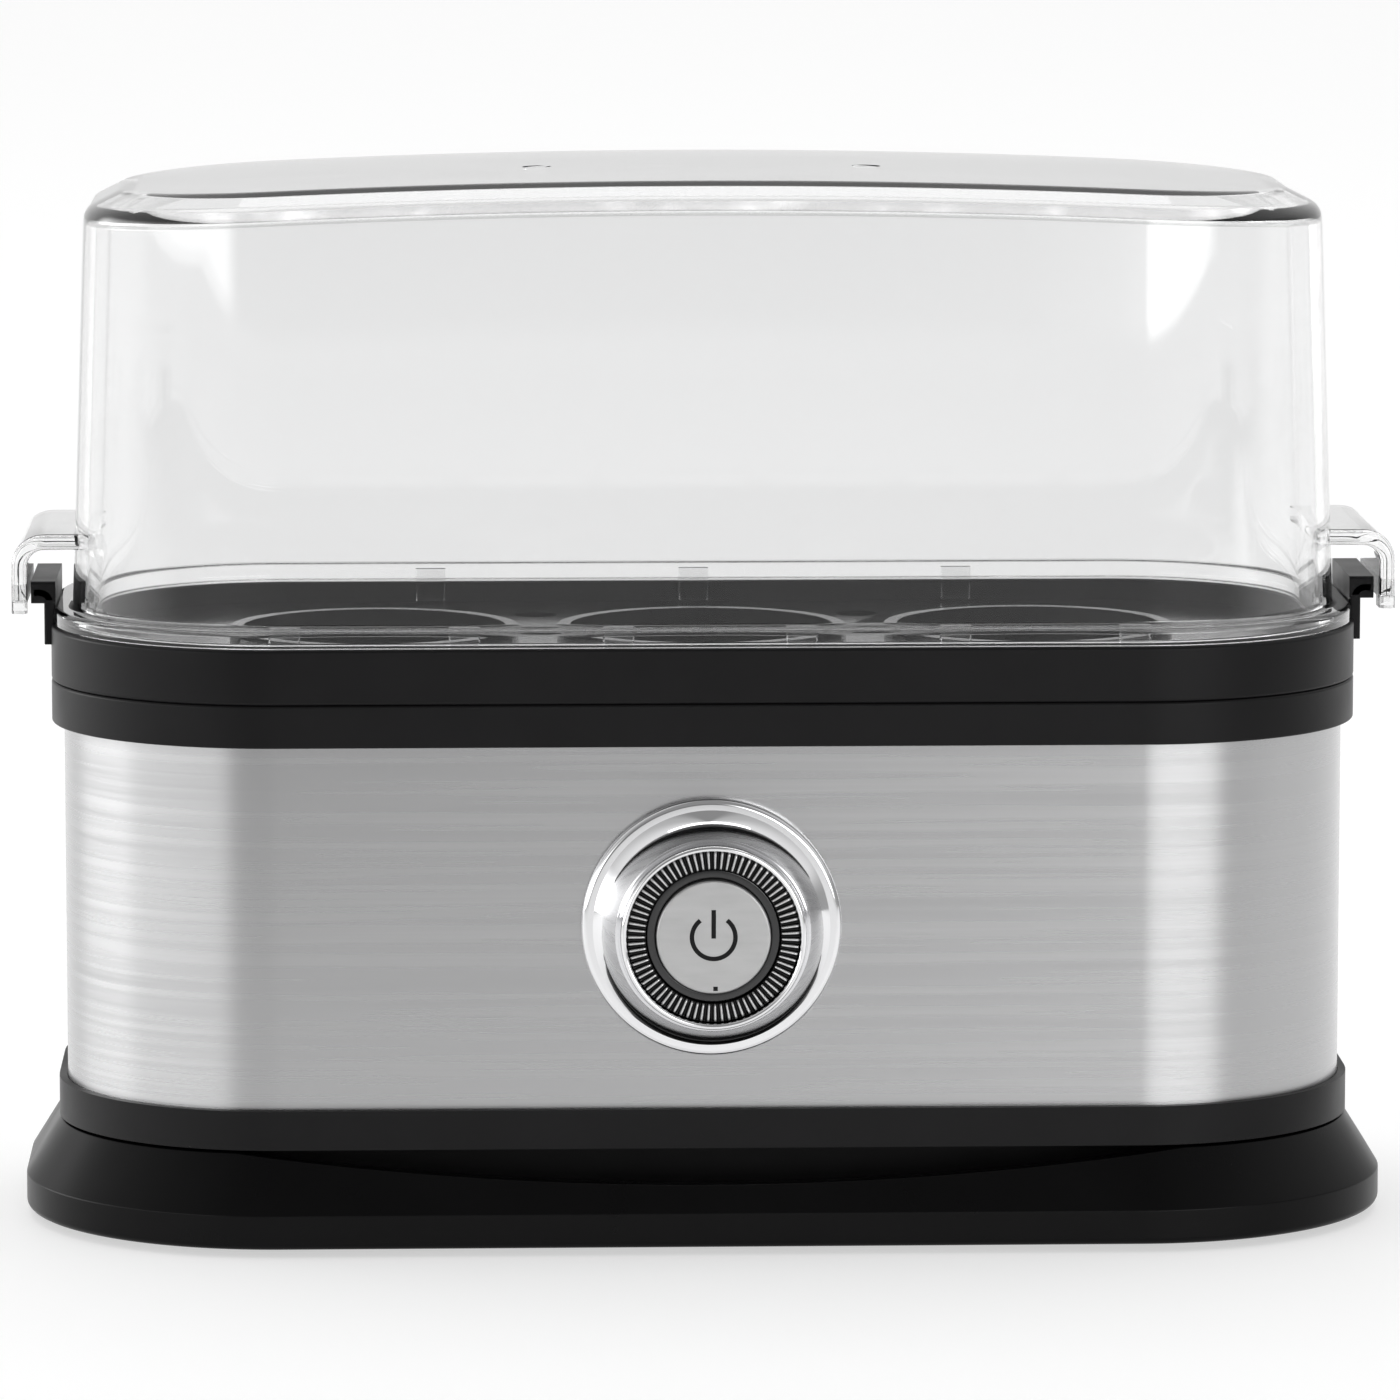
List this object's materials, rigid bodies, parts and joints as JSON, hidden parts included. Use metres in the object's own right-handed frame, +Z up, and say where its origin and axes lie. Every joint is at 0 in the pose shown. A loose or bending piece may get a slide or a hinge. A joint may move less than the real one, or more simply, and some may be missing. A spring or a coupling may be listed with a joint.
{
  "type": "egg cooker",
  "caption": "Long rounded egg cooker: black flared plinth, brushed steel sleeve with push control, lift-out egg rack and clear lift-off lid.",
  "frame": {"origin": "on the table, under the middle of the cooker's bounding box", "axes": "+X to the right as the user faces the control, +Y towards the back, +Z up"},
  "size_m": [0.192, 0.0944, 0.1458],
  "materials": {
    "black_plinth": "semi-gloss black moulding",
    "black_plastic": "fine satin black moulding",
    "black_band": "satin black moulding",
    "black_gloss": "gloss black moulding",
    "foot_rubber": "matte rubber",
    "gland_rubber": "matte rubber",
    "seal_silicone": "translucent silicone",
    "brushed_steel": "horizontally brushed stainless steel",
    "pan_steel": "polished stainless steel",
    "screw_steel": "zinc-plated steel",
    "spring_steel": "drawn spring wire",
    "spreader_aluminium": "cast aluminium",
    "element_sheath": "annealed sheath",
    "thermostat_body": "phenolic can",
    "fuse_can": "metal can",
    "terminal_nylon": "natural nylon",
    "switch_nylon": "glass-filled nylon",
    "clear_lid": "clear polycarbonate",
    "chrome": "bright chrome plate",
    "knurled_chrome": "knurled metal-plated ring",
    "smoked_lens": "smoked lens, unlit",
    "button_satin": "satin silver",
    "board_green": "green solder mask",
    "led_lens": "diffused lens"
  },
  "bodies": {
    "housing": {"base_plinth": "black_plinth", "rubber_feet": "foot_rubber", "plinth_screws": "screw_steel", "bottom_housing": "black_plastic", "cord_gland": "gland_rubber", "steel_sleeve": "brushed_steel", "tie_screws": "screw_steel", "housing_collar": "black_band", "heating_pan": "pan_steel", "pan_seal": "seal_silicone", "heat_spreader": "spreader_aluminium", "heating_element": "element_sheath", "element_pins": "screw_steel", "element_clamps": "screw_steel", "clamp_screws": "screw_steel", "thermostat": "thermostat_body", "thermal_fuse": "fuse_can", "terminal_block": "terminal_nylon", "control_bezel": "chrome", "bezel_nut": "black_plastic", "control_core": "black_plastic", "knurled_ring": "knurled_chrome", "light_ring": "smoked_lens", "button_spring": "spring_steel", "control_board": "board_green", "board_screws": "screw_steel", "ring_leds": "led_lens", "power_switch": "switch_nylon", "signal_buzzer": "black_plastic"},
    "rack": {"rack_frame": "black_band", "rack_plate": "black_gloss"},
    "lid": {"lid": "clear_lid", "lid_loops": "clear_lid"},
    "button": {"power_button": "button_satin"}
  },
  "joints": [
    {"name": "rack_lift", "type": "slide", "parent": "housing", "child": "rack", "axis": [0, 0, 1], "range_m": [0, 0.06]},
    {"name": "lid_lift", "type": "slide", "parent": "rack", "child": "lid", "axis": [0, 0, 1], "range_m": [0, 0.09]},
    {"name": "power_press", "type": "slide", "parent": "housing", "child": "button", "axis": [0, 1, 0], "range_m": [0, 0.0018], "stiffness_N_per_m": 600, "deforming": ["button_spring"]}
  ]
}
